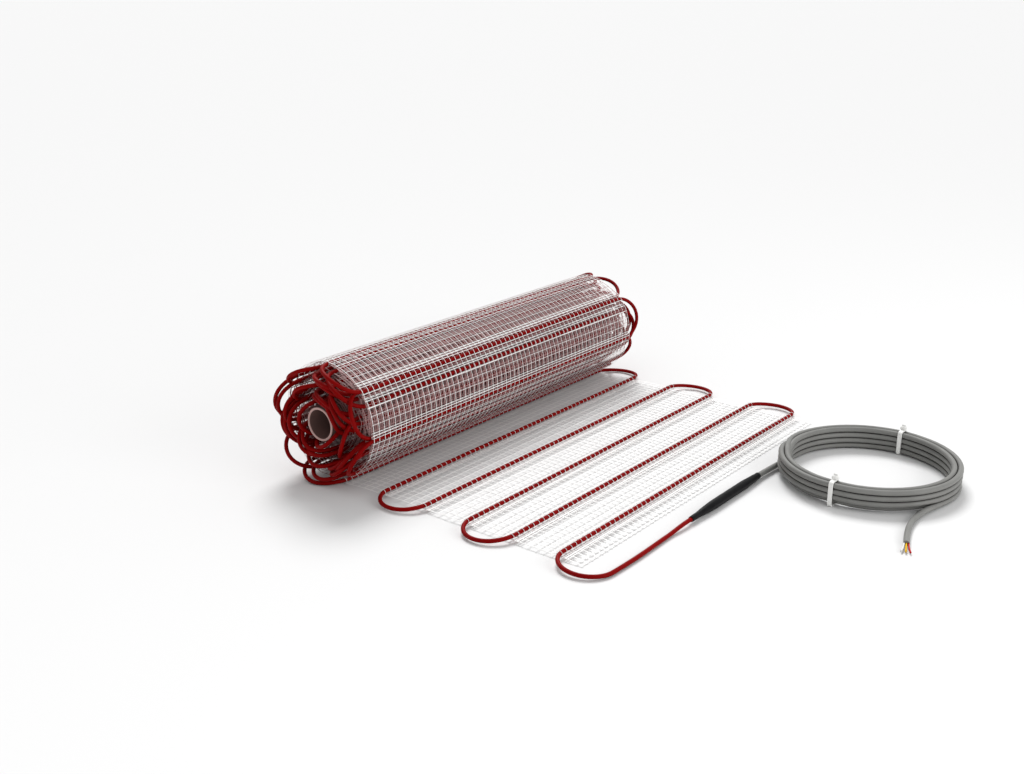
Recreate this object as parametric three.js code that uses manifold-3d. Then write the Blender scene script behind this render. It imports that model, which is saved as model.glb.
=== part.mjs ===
// Underfloor heating mat: a strip of open glass-fibre mesh with a heating cable laid back and forth on it.
// Most of the strip is wound on a cardboard tube, and its outer end is laid out flat on the floor.
// Millimetres, +Z up. X runs along the roll, and -Y is the way the mat unrolls.
// The origin is on the underside of the laid stretch, half way across it and half way along it.

import * as THREE from 'three';
import Module from 'manifold-3d';
import { mergeVertices } from 'three/addons/utils/BufferGeometryUtils.js';

// The mesh and its roll
const mesh_width = 455;
const mesh_thickness = 0.8;
const laid_length = 311;
const roll_diameter = 129;
const steps_per_turn = 44;

// The plain grid of openings in the laid stretch, which stands for its far finer net
const openings_across = 12;
const rows_between_legs = 2;
const mesh_bar = 6;

// The tube in the middle of the roll
const tube_diameter = 35;
const tube_wall = 2.2;
const tube_overhang = 14;
const tube_sides = 40;

// The heating cable: legs across the mesh, joined by round loops that stand past its edges
const cable_diameter = 4.2;
const leg_pitch = 54;
const first_leg_inset = 24;
const loop_overhang = 20.4;
const loop_steps = 8;
const cable_sides = 8;

// The sleeve that joins the heating cable to the cold lead
const sleeve_from_mesh_edge = 136;
const sleeve_length = 133;
const sleeve_diameter = 9.5;
const sleeve_cable_taper = 46;
const sleeve_lead_taper = 34;
const sleeve_lip = 0.7;
const sleeve_sides = 24;

// The cold lead: a short run, a flat round coil and a tail
const lead_diameter = 5.8;
const lead_sides = 10;
const coil_outer_diameter = 183;
const coil_band = 12;
const coil_height = 23.4;
const coil_edge_round = 3;
const coil_from_sleeve = 76.1;
const coil_sides = 48;

// The bare conductors at the end of the tail
const conductor_diameter = 1.7;
const conductor_length = 16;
const conductor_splay = 2.2;
const conductor_sides = 10;
const conductor_steps = 4;

// The two cable ties around the coil
const tie_width = 4.6;
const tie_thickness = 1.2;
const tie_corner = 2.5;
const tie_head_width = 6;
const tie_head_depth = 6;
const tie_head_height = 5;
const tie_head_offset = 3.4;
const tie_places = [
  { angle: 180, head_side: -1 },
  { angle: 0, head_side: 1 },
];

// Free space left between pieces that touch
const clearance = 0.4;
const joint_gap = 0.3;
const tube_clearance = 1;

// Worked out from the sizes above
const cable_radius = cable_diameter / 2;
const lead_radius = lead_diameter / 2;
const roll_radius = roll_diameter / 2;
const tube_radius = tube_diameter / 2;
const half_mesh = mesh_width / 2;
const cable_height = mesh_thickness + clearance + cable_radius;
const turn_pitch = mesh_thickness + cable_diameter + 2 * clearance;
const mesh_end_radius = tube_radius + joint_gap + mesh_thickness;
const cable_end_radius = tube_radius + tube_clearance + cable_radius + cable_height;
const angleAtRadius = (radius) => (2 * Math.PI * (roll_radius - radius)) / turn_pitch;
const mesh_end_angle = angleAtRadius(mesh_end_radius);
const cable_end_angle = angleAtRadius(cable_end_radius);
const exit_y = first_leg_inset - leg_pitch;
const sleeve_start_x = -half_mesh + sleeve_from_mesh_edge;
const sleeve_end_x = sleeve_start_x + sleeve_length;
const sleeve_axis_z = sleeve_diameter / 2;
const coil_radius = coil_outer_diameter / 2;
const coil_inner_radius = coil_radius - coil_band;
const coil_floor = tie_thickness + joint_gap;
const coil_mean_radius = (coil_radius + coil_inner_radius) / 2;
const coil_centre_x = sleeve_end_x + coil_from_sleeve;
const coil_centre_y = exit_y - coil_mean_radius;

// The cold lead's route outside the coil, chosen by hand.
// The run is measured from the end of the sleeve, and the tail from the centre of the coil.
const lead_run_route = [
  [0.3, 0, 4.75],
  [11.5, -0.2, 4.65],
  [22.5, -0.6, 4.5],
  [34.2, -1.1, 4.4],
];
const lead_tail_route = [
  [-50.4, -80.2, 4.4],
  [-58.6, -78.8, 4.0],
  [-67.6, -77.9, 3.5],
  [-78.6, -78.2, 3.1],
  [-90.6, -79.9, 2.95],
  [-103.6, -83.2, 2.95],
  [-116.1, -87.3, 2.95],
  [-128.6, -91.9, 2.95],
];

const wasm = await Module();
wasm.setup();

const toSolid = (geometry) => {
  const bare = geometry.clone();
  bare.deleteAttribute('normal');
  bare.deleteAttribute('uv');
  const merged = mergeVertices(bare, 1e-4);
  const vertProperties = new Float32Array(merged.attributes.position.array);
  const triVerts = new Uint32Array(merged.index.array);
  return new wasm.Manifold(new wasm.Mesh({ numProp: 3, vertProperties, triVerts }));
};

const fromSolid = (solid) => {
  const { vertProperties, triVerts } = solid.getMesh();
  const geometry = new THREE.BufferGeometry();
  geometry.setAttribute('position', new THREE.BufferAttribute(vertProperties, 3));
  geometry.setIndex(new THREE.BufferAttribute(triVerts, 1));
  geometry.computeVertexNormals();
  return geometry;
};

const paint = (color, roughness, metalness = 0) =>
  new THREE.MeshStandardMaterial({ color, roughness, metalness });

const named = (name, geometry, material) => {
  const mesh = new THREE.Mesh(geometry, material);
  mesh.name = name;
  return mesh;
};

// A line of straight steps from point to point, each point a station of its own
class Stations extends THREE.Curve {
  constructor(points) {
    super();
    this.points = points;
  }
  getPoint(t, target = new THREE.Vector3()) {
    const index = Math.round(t * (this.points.length - 1));
    return target.copy(this.points[index]);
  }
  getPointAt(t, target) {
    return this.getPoint(t, target);
  }
  getTangent(t, target = new THREE.Vector3()) {
    const last = this.points.length - 1;
    const index = Math.round(t * last);
    const before = this.points[Math.max(index - 1, 0)];
    const after = this.points[Math.min(index + 1, last)];
    return target.subVectors(after, before).normalize();
  }
  getTangentAt(t, target) {
    return this.getTangent(t, target);
  }
}

const ring = (radius, sides) => {
  const points = [];
  for (let i = 0; i < sides; i += 1) {
    const angle = (2 * Math.PI * (i + 0.5)) / sides;
    points.push(new THREE.Vector2(radius * Math.cos(angle), radius * Math.sin(angle)));
  }
  return points;
};

// A round bar along a line of points
const bar = (points, radius, sides) =>
  new THREE.ExtrudeGeometry(new THREE.Shape(ring(radius, sides)), {
    steps: points.length - 1,
    extrudePath: new Stations(points),
  });

const routeFrom = (x, y, route) => route.map((step) => new THREE.Vector3(x + step[0], y + step[1], step[2]));
const leadRun = () => routeFrom(sleeve_end_x, exit_y, lead_run_route);
const leadTail = () => routeFrom(coil_centre_x, coil_centre_y, lead_tail_route);

// The winding: s runs along the mesh from its front edge, and h is the height above its outer face
const turnAngle = (s) => {
  const wound = s - laid_length;
  const left = roll_radius ** 2 - (turn_pitch * wound) / Math.PI;
  return ((2 * Math.PI) / turn_pitch) * (roll_radius - Math.sqrt(left));
};

const onTurn = (angle, h) => {
  const radius = roll_radius - (turn_pitch * angle) / (2 * Math.PI) - h;
  return {
    y: laid_length + radius * Math.sin(angle),
    z: roll_radius - radius * Math.cos(angle),
  };
};

const onMat = (s, h) => (s <= laid_length ? { y: s, z: h } : onTurn(turnAngle(s), h));

const lengthToAngle = (angle) => laid_length + roll_radius * angle - (turn_pitch * angle ** 2) / (4 * Math.PI);

// The openings of the laid stretch, between bars that run along it and bars that run across it.
// A bar lies under each leg of the cable.
const laidOpenings = () => {
  const bar_spacing = (mesh_width - mesh_bar) / openings_across;
  const cross_bars = [mesh_bar / 2];
  for (let s = first_leg_inset; s < laid_length; s += leg_pitch / rows_between_legs) cross_bars.push(s);
  const height = mesh_thickness + 2 * clearance;
  const openings = [];
  for (let row = 1; row < cross_bars.length; row += 1) {
    const length = cross_bars[row] - cross_bars[row - 1] - mesh_bar;
    const middle = (cross_bars[row] + cross_bars[row - 1]) / 2;
    for (let column = 0; column < openings_across; column += 1) {
      const x = (column + 0.5 - openings_across / 2) * bar_spacing;
      const opening = new THREE.BoxGeometry(bar_spacing - mesh_bar, length, height);
      openings.push(toSolid(opening.translate(x, middle, mesh_thickness / 2)));
    }
  }
  return wasm.Manifold.union(openings);
};

// The mesh as one solid strip: laid flat, then wound in until its bare end lies on the tube
const meshStrip = () => {
  const faceLine = (h) => {
    const line = [onMat(0, h)];
    const steps = Math.ceil((steps_per_turn * mesh_end_angle) / (2 * Math.PI));
    for (let i = 0; i <= steps; i += 1) line.push(onTurn((mesh_end_angle * i) / steps, h));
    return line;
  };
  const outline = [...faceLine(0), ...faceLine(mesh_thickness).reverse()];
  const shape = new THREE.Shape(outline.map((point) => new THREE.Vector2(point.y, point.z)));
  const geometry = new THREE.ExtrudeGeometry(shape, { depth: mesh_width, bevelEnabled: false });
  const turned = new THREE.Matrix4().makeBasis(
    new THREE.Vector3(0, 1, 0),
    new THREE.Vector3(0, 0, 1),
    new THREE.Vector3(1, 0, 0),
  );
  geometry.applyMatrix4(turned);
  geometry.translate(-half_mesh, 0, 0);
  return fromSolid(toSolid(geometry).subtract(laidOpenings()));
};

// The heating cable: the run off the mat, then leg after leg up the mat and round the roll
const heatingCable = () => {
  const loop_radius = leg_pitch / 2;
  const loop_centre_x = half_mesh + loop_overhang - loop_radius;
  const points = [];
  const place = (x, s, h = cable_height) => {
    const { y, z } = s < 0 ? { y: s, z: h } : onMat(s, h);
    points.push(new THREE.Vector3(x, y, z));
  };
  const floor_height = cable_radius + clearance;
  const run = sleeve_start_x - joint_gap + loop_centre_x;
  place(sleeve_start_x - joint_gap, exit_y, sleeve_axis_z);
  place(sleeve_start_x - joint_gap - 0.12 * run, exit_y, sleeve_axis_z);
  place(sleeve_start_x - joint_gap - 0.36 * run, exit_y, floor_height);
  place(-loop_centre_x + 0.12 * run, exit_y, floor_height);
  const leg_count = Math.floor((lengthToAngle(cable_end_angle) - exit_y) / leg_pitch);
  for (let leg = 0; leg < leg_count; leg += 1) {
    const side = leg % 2 === 0 ? -1 : 1;
    const middle = exit_y + leg_pitch * (leg + 0.5);
    for (let i = 0; i <= loop_steps; i += 1) {
      const angle = (Math.PI * i) / loop_steps;
      const x = side * (loop_centre_x + loop_radius * Math.sin(angle));
      place(x, middle - loop_radius * Math.cos(angle));
    }
  }
  const end_side = leg_count % 2 === 0 ? -1 : 1;
  place(end_side * loop_centre_x, exit_y + leg_pitch * leg_count);
  return bar(points, cable_radius, cable_sides);
};

// A solid of revolution about X, from pairs of place along X and radius
const turnedAlongX = (profile, sides) => {
  const points = profile.map(([x, radius]) => new THREE.Vector2(radius, x));
  const geometry = new THREE.LatheGeometry(points, sides);
  return geometry.rotateZ(-Math.PI / 2);
};

const coreTube = () => {
  const half = half_mesh + tube_overhang;
  const bore = tube_radius - tube_wall;
  const profile = [[-half, bore], [-half, tube_radius], [half, tube_radius], [half, bore], [-half, bore]];
  return turnedAlongX(profile, tube_sides).translate(0, laid_length, roll_radius);
};

const spliceSleeve = () => {
  const widest = sleeve_diameter / 2;
  const profile = [
    [0, 0],
    [0, cable_radius + sleeve_lip],
    [sleeve_cable_taper, widest],
    [sleeve_length - sleeve_lead_taper, widest],
    [sleeve_length, lead_radius + sleeve_lip],
    [sleeve_length, 0],
  ];
  return turnedAlongX(profile, sleeve_sides).translate(sleeve_start_x, exit_y, sleeve_axis_z);
};

// The outer shape of the coiled lead
const coilRing = () => {
  const top = coil_floor + coil_height;
  const e = coil_edge_round;
  const corners = [
    [coil_inner_radius, coil_floor + e],
    [coil_inner_radius + e, coil_floor],
    [coil_radius - e, coil_floor],
    [coil_radius, coil_floor + e],
    [coil_radius, top - e],
    [coil_radius - e, top],
    [coil_inner_radius + e, top],
    [coil_inner_radius, top - e],
    [coil_inner_radius, coil_floor + e],
  ];
  const profile = corners.map(([radius, z]) => new THREE.Vector2(radius, z));
  const geometry = new THREE.LatheGeometry(profile, coil_sides).rotateX(Math.PI / 2);
  return geometry.translate(coil_centre_x, coil_centre_y, 0);
};

const roundedBox = (path, left, bottom, right, top, corner) => {
  path.moveTo(left + corner, bottom);
  path.lineTo(right - corner, bottom);
  path.absarc(right - corner, bottom + corner, corner, -Math.PI / 2, 0);
  path.lineTo(right, top - corner);
  path.absarc(right - corner, top - corner, corner, 0, Math.PI / 2);
  path.lineTo(left + corner, top);
  path.absarc(left + corner, top - corner, corner, Math.PI / 2, Math.PI);
  path.lineTo(left, bottom + corner);
  path.absarc(left + corner, bottom + corner, corner, Math.PI, 1.5 * Math.PI);
  return path;
};

// A cable tie: a strap right round the coil's section, with its locking head on top
const cableTie = (degrees, head_side) => {
  const inner = {
    left: coil_inner_radius - joint_gap,
    right: coil_radius + joint_gap,
    bottom: tie_thickness,
    top: coil_floor + coil_height + joint_gap,
  };
  const strap = roundedBox(
    new THREE.Shape(),
    inner.left - tie_thickness,
    0,
    inner.right + tie_thickness,
    inner.top + tie_thickness,
    tie_corner + tie_thickness,
  );
  strap.holes.push(roundedBox(new THREE.Path(), inner.left, inner.bottom, inner.right, inner.top, tie_corner));
  const band = new THREE.ExtrudeGeometry(strap, { depth: tie_width, bevelEnabled: false, curveSegments: 3 });
  band.rotateX(Math.PI / 2).translate(0, tie_width / 2, 0);
  const head = new THREE.BoxGeometry(tie_head_depth, tie_head_width, tie_head_height);
  const head_z = inner.top + tie_head_height / 2;
  head.translate(coil_mean_radius + head_side * tie_head_offset, 0, head_z);
  const geometry = fromSolid(toSolid(band).add(toSolid(head)));
  geometry.rotateZ(THREE.MathUtils.degToRad(degrees));
  return geometry.translate(coil_centre_x, coil_centre_y, 0);
};

// A bare conductor that bends a little to its own side as it leaves the sheath
const conductor = (side) => {
  const route = leadTail();
  const end = route.at(-1);
  const ahead = new THREE.Vector3().subVectors(end, route.at(-2)).normalize();
  const across = new THREE.Vector3(-ahead.y, ahead.x, 0);
  const points = [];
  for (let i = 0; i <= conductor_steps; i += 1) {
    const t = i / conductor_steps;
    const spread = side * (conductor_diameter + joint_gap + conductor_splay * t * t);
    const point = end.clone().addScaledVector(ahead, joint_gap + conductor_length * t);
    points.push(point.addScaledVector(across, spread));
  }
  return bar(points, conductor_diameter / 2, conductor_sides);
};

const white_mesh = paint(0xe9e7e2, 0.6);
const red_jacket = paint(0x8c0505, 0.38);
const brown_card = paint(0xa98473, 0.9);
const black_shrink = paint(0x1b1b1c, 0.45);
const grey_jacket = paint(0x83837e, 0.5);
const white_nylon = paint(0xf1f1ec, 0.4);
const yellow_wire = paint(0xd9a514, 0.4);
const red_wire = paint(0xa81818, 0.4);
const pale_wire = paint(0xe2e2e0, 0.4);

const mat = new THREE.Group();
mat.add(named('core_tube', coreTube(), brown_card));
mat.add(named('glass_fibre_mesh', meshStrip(), white_mesh));
mat.add(named('heating_cable', heatingCable(), red_jacket));
mat.add(named('splice_sleeve', spliceSleeve(), black_shrink));
mat.add(named('cold_lead_run', bar(leadRun(), lead_radius, lead_sides), grey_jacket));
mat.add(named('cold_lead_coil', coilRing(), grey_jacket));
mat.add(named('cold_lead_tail', bar(leadTail(), lead_radius, lead_sides), grey_jacket));
tie_places.forEach(({ angle, head_side }, i) =>
  mat.add(named(`cable_tie_${i + 1}`, cableTie(angle, head_side), white_nylon)));
[['conductor_left', -1, pale_wire], ['conductor_middle', 0, yellow_wire], ['conductor_right', 1, red_wire]]
  .forEach(([name, side, material]) => mat.add(named(name, conductor(side), material)));
mat.position.y = -laid_length / 2;

const part = new THREE.Group();
part.add(mat);

export default part;
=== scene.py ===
# Underfloor heating mat: the finished look of its net, cables, sleeve, tube and ties, over the model.
# Metres, +Z up. X runs along the roll, and -Y is the way the mat unrolls.

import math
import random

import bpy
import numpy as np
from bpy.props import FloatProperty, FloatVectorProperty, PointerProperty
from bpy.types import Operator, Panel, PropertyGroup
from mathutils import Euler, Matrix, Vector


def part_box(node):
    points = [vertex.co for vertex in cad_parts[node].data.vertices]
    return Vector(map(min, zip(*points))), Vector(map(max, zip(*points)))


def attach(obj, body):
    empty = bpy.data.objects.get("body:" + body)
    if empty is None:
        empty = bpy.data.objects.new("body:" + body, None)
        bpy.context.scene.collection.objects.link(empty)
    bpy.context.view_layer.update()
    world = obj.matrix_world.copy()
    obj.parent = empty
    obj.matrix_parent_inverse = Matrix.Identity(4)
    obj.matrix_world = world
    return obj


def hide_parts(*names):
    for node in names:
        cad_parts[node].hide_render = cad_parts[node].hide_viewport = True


bl_info = {
    "name": "Underfloor Heating Mat",
    "version": (1, 0, 0),
    "blender": (4, 5, 0),
    "location": "3D View > Sidebar > Heating Mat",
    "description": "Dresses an underfloor heating mat with its net, cables, sleeve, tube and ties",
    "category": "Add Mesh",
}

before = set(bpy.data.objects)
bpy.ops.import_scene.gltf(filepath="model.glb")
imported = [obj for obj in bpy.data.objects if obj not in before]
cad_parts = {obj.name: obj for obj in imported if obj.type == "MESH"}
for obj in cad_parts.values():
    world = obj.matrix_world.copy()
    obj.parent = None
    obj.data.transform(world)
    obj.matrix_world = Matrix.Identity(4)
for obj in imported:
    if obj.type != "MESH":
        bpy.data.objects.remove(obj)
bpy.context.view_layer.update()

# Places read from the model
NET_LOW, NET_HIGH = (Vector(corner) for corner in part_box("glass_fibre_mesh"))
TUBE_LOW, TUBE_HIGH = (Vector(corner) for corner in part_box("core_tube"))
SLEEVE_LOW, SLEEVE_HIGH = (Vector(corner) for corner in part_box("splice_sleeve"))
COIL_LOW, COIL_HIGH = (Vector(corner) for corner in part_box("cold_lead_coil"))

HALF_NET = NET_HIGH.x
FRONT_Y = NET_LOW.y
LAID_LENGTH = -2 * FRONT_Y
ROLL_RADIUS = (TUBE_LOW.z + TUBE_HIGH.z) / 2
TUBE_RADIUS = (TUBE_HIGH.z - TUBE_LOW.z) / 2
LOOP_REACH = Vector(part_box("heating_cable")[1]).x

# Sizes shared with the model
NET_THICKNESS = 0.0008
CLEARANCE = 0.0004
JOINT_GAP = 0.0003
TUBE_CLEARANCE = 0.001
TUBE_WALL = 0.0022
CABLE_DIAMETER = 0.0042
LEG_PITCH = 0.054
FIRST_LEG = 0.024
LEAD_DIAMETER = 0.0058
SLEEVE_CABLE_TAPER = 0.046
SLEEVE_LEAD_TAPER = 0.034
SLEEVE_LIP = 0.0007
TIE_THICKNESS = 0.0012
TIE_WIDTH = 0.0046
TIE_PLACES = ((180, -1), (0, 1))
TIE_HEAD_OFFSET = 0.0034
CONDUCTOR_DIAMETER = 0.0017
CONDUCTOR_LENGTH = 0.016
CONDUCTOR_SPLAY = 0.0022

CABLE_RADIUS = CABLE_DIAMETER / 2
LEAD_RADIUS = LEAD_DIAMETER / 2
CABLE_HEIGHT = NET_THICKNESS + CLEARANCE + CABLE_RADIUS
EXIT_S = FIRST_LEG - LEG_PITCH
EXIT_Y = FRONT_Y + EXIT_S
SLEEVE_AXIS_Z = (SLEEVE_LOW.z + SLEEVE_HIGH.z) / 2
SLEEVE_RADIUS = (SLEEVE_HIGH.z - SLEEVE_LOW.z) / 2
COIL_CENTRE = (COIL_LOW + COIL_HIGH) / 2
COIL_RADIUS = (COIL_HIGH.x - COIL_LOW.x) / 2
COIL_BAND = 0.012

# The real turns lie closer than the model's solids can, because the cable's legs settle between each other
TURN_PITCH = 0.0033

# The cold lead's route outside the coil, from the sleeve's end and from the coil's centre
LEAD_RUN_ROUTE = (
    (0.0003, 0, 0.00475),
    (0.0115, -0.0002, 0.00465),
    (0.0225, -0.0006, 0.0045),
    (0.0342, -0.0011, 0.0044),
)
LEAD_TAIL_ROUTE = (
    (-0.0504, -0.0802, 0.0044),
    (-0.0586, -0.0788, 0.0040),
    (-0.0676, -0.0779, 0.0035),
    (-0.0786, -0.0782, 0.0031),
    (-0.0906, -0.0799, 0.00295),
    (-0.1036, -0.0832, 0.00295),
    (-0.1161, -0.0873, 0.00295),
    (-0.1286, -0.0919, 0.00295),
)

# The coil's slots as column and row: up the inside, across the top and down the outside
COIL_SLOTS = ((0, 0), (0, 1), (0, 2), (0, 3), (1, 3), (1, 2), (1, 1), (1, 0))
COIL_LAYERS = 4

# How far the coil stays off the floor and below the model's top, and how far along a tie still lifts it
COIL_FOOT = 0.0006
COIL_SAG = 0.0004
TIE_LIFT_REACH = 0.016

# Where the lead leaves the coil and changes slot, in degrees round it
TAIL_LEAVES_AT = 258.8
FIRST_CROSSING_AT = 114
CROSSING_STEP = 5
CROSSING_WIDTH = 36

# The share of a turn's depth that a leg settles outward past each turn whose legs leave it room
SETTLING = 0.85

# How many turns it can pass, over how many more that fades, and the room that it needs beside a leg
SETTLING_TURNS = 3
SETTLING_FADE = 6
NO_ROOM_WITHIN = 0.0028
ROOM_EASING = 0.0022

# How far the laid net springs up off the floor and bulges between legs
NET_LIFT = 0.0024
NET_BULGE = 0.0008

# The strong threads beside a leg: how far from it, and how much wider than the rest
PAIR_OFFSET = 0.0034
FRONT_OFFSET = 0.0064
STRONG_THREAD = 1.5

# The stitches over the outer legs
STITCH_HALF_WIDTH = 0.00028
STITCH_HALF_THICKNESS = 0.0002

# The drawn share of a thread's width on the laid stretch, on the outer turn and further in
LENGTHWISE_SHARES = (1.55, 0.85, 1.5)
CROSSWISE_SHARES = (1.55, 0.6, 0.75)

# The outer turn's ridges over the legs of each turn under it, and how far the net sags between them
RIDGE_HEIGHTS = (0.0012, 0.001, 0.0008, 0.0008)
RIDGE_WIDTH = 0.0045
RIDGE_SAG = 0.0011

# How wide a stretch of the net inside the roll is carried outward by a settled leg
CARRIED_WIDTH = 0.009


# Property groups with the sizes and colours that a user would change


class HEATMAT_PG_net(PropertyGroup):
    """Sizes and colour of the glass-fibre net, and the painted shade of its inner turns."""

    thread_width: FloatProperty(
        name="Thread width", description="Width of one flat glass-fibre thread", default=0.0007, min=0.0003,
        max=0.003, precision=4, unit="LENGTH")
    thread_thickness: FloatProperty(
        name="Thread thickness", description="Thickness of one flat glass-fibre thread", default=0.00018,
        min=0.0001, max=0.002, precision=5, unit="LENGTH")
    lengthwise_spacing: FloatProperty(
        name="Lengthwise spacing", description="Distance between the threads that follow the mat's length",
        default=0.0077, min=0.004, max=0.02, precision=4, unit="LENGTH")
    crosswise_count: FloatProperty(
        name="Cells between legs", description="Mesh cells between one cable leg and the next", default=6,
        min=3, max=10)
    colour: FloatVectorProperty(
        name="Thread colour", description="Colour of the coated glass-fibre threads",
        subtype="COLOR", size=4, default=(0.95, 0.945, 0.93, 1.0), min=0, max=1)
    # Painted shade and painted red bounce light: a darker, pinker colour for the threads of the inner turns
    painted_shade_colour: FloatVectorProperty(
        name="Inner thread colour", description="Colour of the threads deep in the roll, in the red shade",
        subtype="COLOR", size=4, default=(0.46, 0.25, 0.245, 1.0), min=0, max=1)


class HEATMAT_PG_cable(PropertyGroup):
    """Finish of the red heating cable and its sleeve."""

    jacket_colour: FloatVectorProperty(
        name="Jacket colour", description="Colour of the heating cable's jacket", subtype="COLOR", size=4,
        default=(0.215, 0.0002, 0.0002, 1.0), min=0, max=1)
    sleeve_colour: FloatVectorProperty(
        name="Sleeve colour", description="Colour of the splice sleeve", subtype="COLOR", size=4,
        default=(0.006, 0.006, 0.0065, 1.0), min=0, max=1)
    loop_flare: FloatProperty(
        name="Loop flare", description="How far the loops at the roll's ends stand out of their turn",
        default=0.0012, min=0, max=0.004, precision=4, unit="LENGTH")


class HEATMAT_PG_lead(PropertyGroup):
    """Finish of the grey cold lead and what is on it."""

    jacket_colour: FloatVectorProperty(
        name="Jacket colour", description="Colour of the cold lead's jacket", subtype="COLOR", size=4,
        default=(0.225, 0.225, 0.215, 1.0), min=0, max=1)
    tie_colour: FloatVectorProperty(
        name="Tie colour", description="Colour of the cable ties", subtype="COLOR", size=4,
        default=(0.86, 0.86, 0.84, 1.0), min=0, max=1)


class HEATMAT_PG_tube(PropertyGroup):
    """Finish of the card tube."""

    card_colour: FloatVectorProperty(
        name="Card colour", description="Colour of the card tube's faces", subtype="COLOR", size=4,
        default=(0.1, 0.05, 0.042, 1.0), min=0, max=1)
    rim_colour: FloatVectorProperty(
        name="Rim colour", description="Colour of the card tube's cut rims", subtype="COLOR", size=4,
        default=(0.55, 0.36, 0.33, 1.0), min=0, max=1)


class HEATMAT_PG_stage(PropertyGroup):
    """The studio floor and lights."""

    floor_colour: FloatVectorProperty(
        name="Floor colour", description="Colour of the studio floor", subtype="COLOR", size=4,
        default=(0.775, 0.775, 0.775, 1.0), min=0, max=1)
    key_strength: FloatProperty(
        name="Key light", description="Strength of the wide key light from behind",
        default=2.6, min=0, max=20)
    fill_power: FloatProperty(
        name="Fill light", description="Power of the low fill light from the front in watts",
        default=9, min=0, max=200)
    surround: FloatProperty(
        name="Surround light", description="Strength of the even light from all round",
        default=0.58, min=0, max=5)


# Small helpers for meshes


class Builder:
    """Gathers vertices and faces of many tubes into one mesh."""

    def __init__(self):
        self.vertices = []
        self.faces = []
        self.materials = []
        self.count = 0

    def add(self, vertices, faces):
        self.vertices.append(np.asarray(vertices, float))
        self.faces.extend(tuple(int(i) + self.count for i in face) for face in faces)
        self.materials += [0] * len(faces)
        self.count += len(vertices)

    def add_grid(self, grid, second_from=None):
        """A closed tube from a grid of rings, capped at both ends.

        From the ring number second_from on, it has the mesh's second material.
        """
        stations, sides = grid.shape[:2]
        index = np.arange(stations * sides).reshape(stations, sides) + self.count
        turned = np.roll(index, -1, axis=1)
        quads = np.stack([index[:-1], turned[:-1], turned[1:], index[1:]], axis=-1).reshape(-1, 4)
        self.vertices.append(grid.reshape(-1, 3))
        self.faces.extend(quads.tolist())
        self.faces.append(index[0][::-1].tolist())
        self.faces.append(index[-1].tolist())
        first = stations - 1 if second_from is None else min(second_from, stations - 1)
        self.materials += [0] * (first * sides) + [1] * ((stations - 1 - first) * sides)
        self.materials += [int(first == 0), int(first < stations - 1)]
        self.count += stations * sides

    def mesh(self, name, smooth=True):
        data = bpy.data.meshes.new(name)
        data.from_pydata(np.concatenate(self.vertices).tolist(), [], self.faces)
        data.polygons.foreach_set("use_smooth", [smooth] * len(data.polygons))
        data.polygons.foreach_set("material_index", self.materials)
        data.update()
        return data


def place(name, data, material, slot, *nodes):
    """Puts a piece in the scene on the part's one body, in place of the nodes it stands for."""
    piece = bpy.data.objects.new(name, data)
    bpy.context.scene.collection.objects.link(piece)
    if material is not None:
        data.materials.append(material)
    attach(piece, "root")
    if nodes:
        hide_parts(*nodes)
    return piece


def frames(points):
    """Two unit vectors across a path at each of its points, carried along without twist."""
    steps = np.diff(points, axis=0)
    tangents = np.vstack([steps[:1], steps[:-1] + steps[1:], steps[-1:]])
    tangents /= np.linalg.norm(tangents, axis=1)[:, None]
    helper = np.array([0.0, 0.0, 1.0]) if abs(tangents[0, 2]) < 0.9 else np.array([1.0, 0.0, 0.0])
    side = np.cross(tangents[0], helper)
    side /= np.linalg.norm(side)
    sides = [side]
    for tangent in tangents[1:]:
        side = side - tangent * side.dot(tangent)
        side = side / np.linalg.norm(side)
        sides.append(side)
    sides = np.array(sides)
    return sides, np.cross(tangents, sides)


def tube_grid(points, radius, sides):
    """Rings of a round tube along a path. The radius is one number, or one for each point."""
    points = np.asarray(points, float)
    across, up = frames(points)
    angle = np.linspace(0, 2 * math.pi, sides, endpoint=False)
    radius = np.broadcast_to(np.asarray(radius, float), len(points))[:, None, None]
    ring = np.cos(angle)[None, :, None] * across[:, None] + np.sin(angle)[None, :, None] * up[:, None]
    return points[:, None] + radius * ring


def tape_grid(points, across, up, half_width, half_thickness):
    """Rings of a flat thread: three corners, wide across and thin up."""
    foot = up * half_thickness * 0.6
    side = across * half_width
    return points[:, None] + np.stack([side - foot, up * half_thickness, -side - foot], axis=1)


def turned_grid(profile, sides, centre):
    """Rings of a solid turned about X, from pairs of place along X and radius."""
    angle = np.linspace(0, 2 * math.pi, sides, endpoint=False)
    profile = np.asarray(profile, float)
    x = np.broadcast_to(profile[:, :1], (len(profile), sides))
    y = profile[:, 1:] * np.cos(angle)
    z = profile[:, 1:] * np.sin(angle)
    return np.stack([x, y, z], axis=-1) + np.array(centre)


def smooth_route(points, steps):
    """A smooth curve through given points, with the given number of steps between each two."""
    points = np.asarray(points, float)
    padded = np.vstack([2 * points[0] - points[1], points, 2 * points[-1] - points[-2]])
    curve = []
    for before, start, end, after in zip(padded, padded[1:], padded[2:], padded[3:]):
        for t in np.arange(steps) / steps:
            square = 2 * before - 5 * start + 4 * end - after
            cube = 3 * start - before - 3 * end + after
            curve.append(0.5 * (2 * start + (end - before) * t + square * t**2 + cube * t**3))
    curve.append(points[-1])
    return np.array(curve)


def ease(t):
    """A smooth step from 0 to 1."""
    t = np.clip(t, 0, 1)
    return t * t * (3 - 2 * t)


# The winding: s runs along the mat from its front edge, and h is the height above the net's outer face


def angle_at(s):
    wound = np.maximum(np.asarray(s, float) - LAID_LENGTH, 0)
    left = ROLL_RADIUS**2 - TURN_PITCH * wound / math.pi
    return 2 * math.pi / TURN_PITCH * (ROLL_RADIUS - np.sqrt(np.maximum(left, 0)))


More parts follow.
